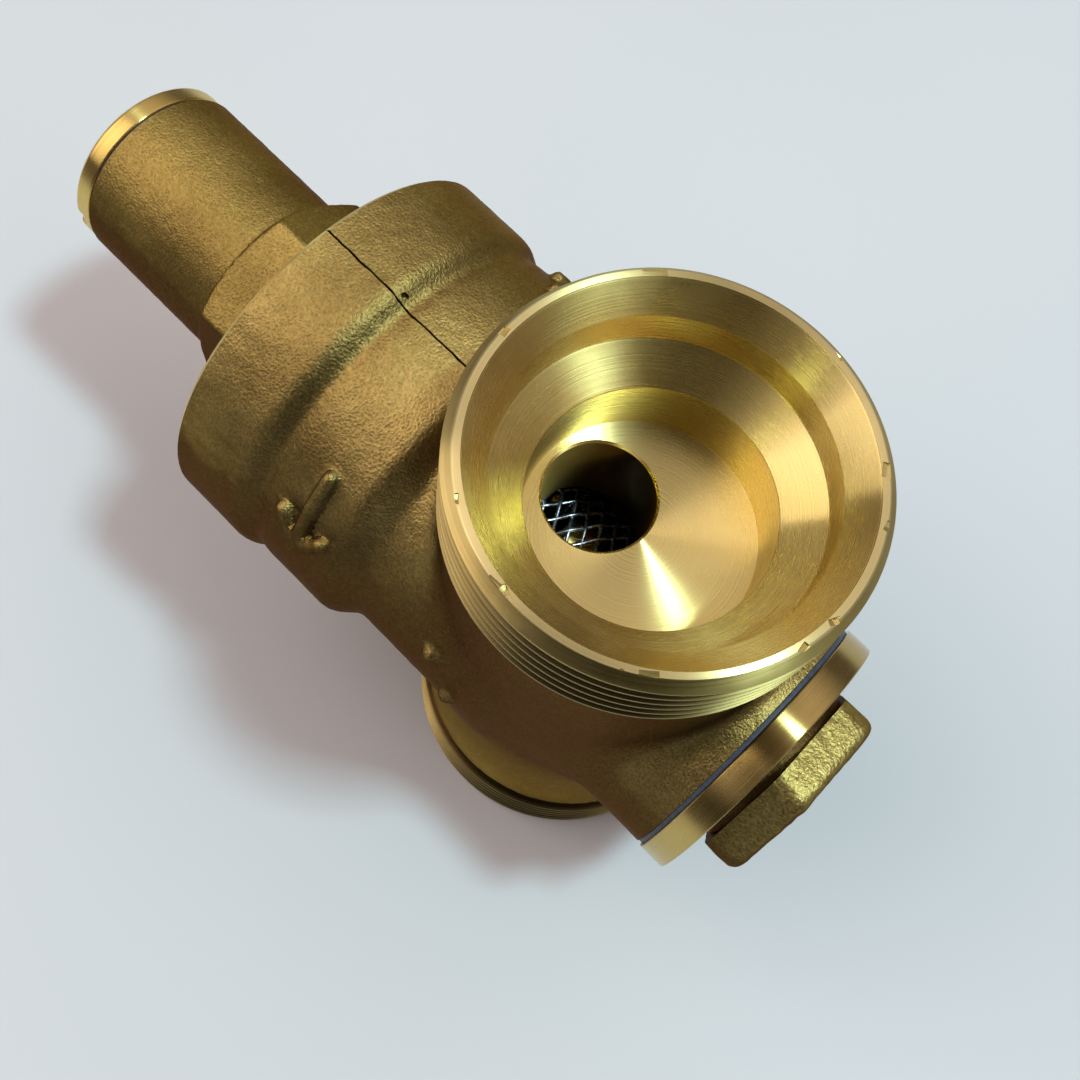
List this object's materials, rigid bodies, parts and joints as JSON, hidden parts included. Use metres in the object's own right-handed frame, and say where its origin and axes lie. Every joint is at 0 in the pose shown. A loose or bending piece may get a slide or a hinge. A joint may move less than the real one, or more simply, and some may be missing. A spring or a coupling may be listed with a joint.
{
  "type": "pressure reducing valve",
  "caption": "Brass water pressure reducing valve with male union threads, spring bonnet, adjusting screw, sprung piston, seat and pull-out strainer behind a hex plug.",
  "frame": {"origin": "centre of the outlet port's face", "axes": "+Z along the ports towards the inlet face, +X along the spring axis towards the cap"},
  "size_m": [0.0913, 0.04, 0.066],
  "materials": {
    "cast_brass": "sand-cast, fine grain, satin",
    "turned_brass": "turned, bright, with fine tool marks",
    "steel": "plain stainless steel",
    "spring_steel": "drawn spring wire",
    "rubber": "matt black rubber",
    "dark_gasket": "dark blue-grey sheet gasket",
    "fibre_gasket": "pressed fibre",
    "ptfe": "matt white plastic"
  },
  "bodies": {
    "valve_body": {"body": "cast_brass", "bonnet": "cast_brass", "bonnet_gasket": "fibre_gasket", "seat_ring": "turned_brass", "seat_o_ring": "rubber", "spring": "spring_steel"},
    "piston_assembly": {"piston": "turned_brass", "piston_o_ring": "rubber", "piston_guide_band": "ptfe", "lower_spring_seat": "steel", "piston_nut": "turned_brass", "stem": "steel", "disc_holder": "turned_brass", "valve_disc": "rubber", "disc_lock_washer": "steel", "disc_nut": "turned_brass"},
    "spring_seat": {"upper_spring_seat": "steel", "thrust_washer": "ptfe"},
    "adjuster": {"adjusting_screw": "turned_brass"},
    "cap_seal": {"cap_gasket": "dark_gasket"},
    "cap": {"cap": "turned_brass"},
    "strainer": {"strainer_mesh": "steel", "strainer_front_ring": "steel", "strainer_rear_ring": "steel"},
    "plug_seal": {"plug_gasket": "dark_gasket"},
    "plug": {"bottom_plug": "cast_brass"}
  },
  "joints": [
    {"name": "piston_stroke", "type": "slide", "parent": "valve_body", "child": "piston_assembly", "axis": [1, 0, 0], "range_m": [0, 0.00305], "stiffness_N_per_m": 500, "deforming": ["spring"]},
    {"name": "adjust_travel", "type": "slide", "parent": "valve_body", "child": "spring_seat", "axis": [1, 0, 0], "range_m": [-0.0045, 0.003], "deforming": ["spring"]},
    {"name": "adjust_turn", "type": "hinge", "parent": "spring_seat", "child": "adjuster", "pos_m": [0.0535, 0, 0.033], "axis": [1, 0, 0], "range_deg": [-1620, 1080]},
    {"name": "cap_travel", "type": "slide", "parent": "valve_body", "child": "cap_seal", "axis": [1, 0, 0], "range_m": [0, 0.003]},
    {"name": "cap_turn", "type": "hinge", "parent": "cap_seal", "child": "cap", "pos_m": [0.0645, 0, 0.033], "axis": [1, 0, 0], "range_deg": [0, 1080]},
    {"name": "strainer_draw", "type": "slide", "parent": "valve_body", "child": "strainer", "axis": [-1, 0, 0], "range_m": [0, 0.028]},
    {"name": "plug_travel", "type": "slide", "parent": "strainer", "child": "plug_seal", "axis": [-1, 0, 0], "range_m": [0, 0.006]},
    {"name": "plug_turn", "type": "hinge", "parent": "plug_seal", "child": "plug", "pos_m": [-0.0199, 0, 0.033], "axis": [-1, 0, 0], "range_deg": [0, 1440]}
  ],
  "couplings": [
    {"joint": "adjust_travel", "follows": "adjust_turn", "m_per_rad": 0.00015915},
    {"joint": "cap_travel", "follows": "cap_turn", "m_per_rad": 0.00015915},
    {"joint": "plug_travel", "follows": "plug_turn", "m_per_rad": 0.00023873}
  ]
}
